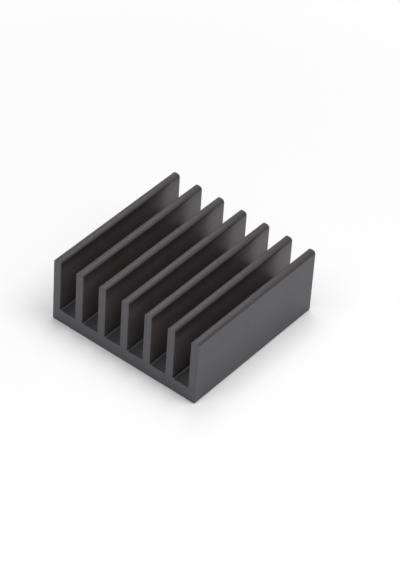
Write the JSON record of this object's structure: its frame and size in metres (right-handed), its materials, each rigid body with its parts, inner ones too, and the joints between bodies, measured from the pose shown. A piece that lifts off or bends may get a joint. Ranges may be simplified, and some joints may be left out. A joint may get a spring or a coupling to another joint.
{
  "type": "heat sink",
  "caption": "Square extruded aluminium heat sink with straight upright fins on a flat base, black anodised, for cooling a small chip.",
  "frame": {"origin": "middle of the base's flat underside", "axes": "+Z from the base up to the fin tips, +Y along the fins, +X across them"},
  "size_m": [0.014, 0.014, 0.006],
  "materials": {
    "black_anodised": "satin black anodised over an extruded surface"
  },
  "bodies": {
    "root": {"heat_sink": "black_anodised"}
  },
  "joints": []
}
